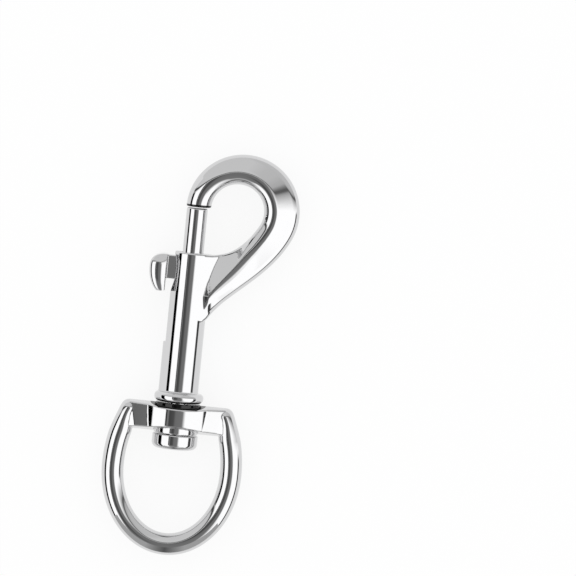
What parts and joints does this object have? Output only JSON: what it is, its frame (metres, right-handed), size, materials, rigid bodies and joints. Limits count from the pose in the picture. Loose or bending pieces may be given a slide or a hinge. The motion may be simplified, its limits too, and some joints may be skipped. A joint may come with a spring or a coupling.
{
  "type": "swivel snap hook",
  "caption": "Plated cast snap hook with a spring-loaded sliding latch bolt, a thumb knob and a strap ring that swivels on a headed stud.",
  "frame": {"origin": "middle of the strap ring's eye, in the plane of the hook", "axes": "+Y along the swivel axis towards the hook's nose, +Z out of the plane of the hook, +X towards the arm side, with the thumb knob on the -X side"},
  "size_m": [0.0384, 0.0908, 0.011],
  "materials": {
    "plated_casting": "bright polished plating",
    "plated_bolt": "bright polished plating",
    "spring_wire": "drawn spring wire, lightly oiled",
    "plated_stud": "bright polished plating",
    "plated_ring": "bright polished plating"
  },
  "bodies": {
    "hook": {"hook_body": "plated_casting", "swivel_stud": "plated_stud", "return_spring": "spring_wire"},
    "ring": {"swivel_ring": "plated_ring"},
    "bolt": {"latch_bolt": "plated_bolt"}
  },
  "joints": [
    {"name": "ring_swivel", "type": "hinge", "parent": "hook", "child": "ring", "pos_m": [0, 0.018, 0], "axis": [0, 1, 0], "continuous": true},
    {"name": "bolt_slide", "type": "slide", "parent": "hook", "child": "bolt", "axis": [0, 1, 0], "range_m": [-0.0136, 0], "stiffness_N_per_m": 400, "springref_m": 0.004, "deforming": ["return_spring"]}
  ]
}
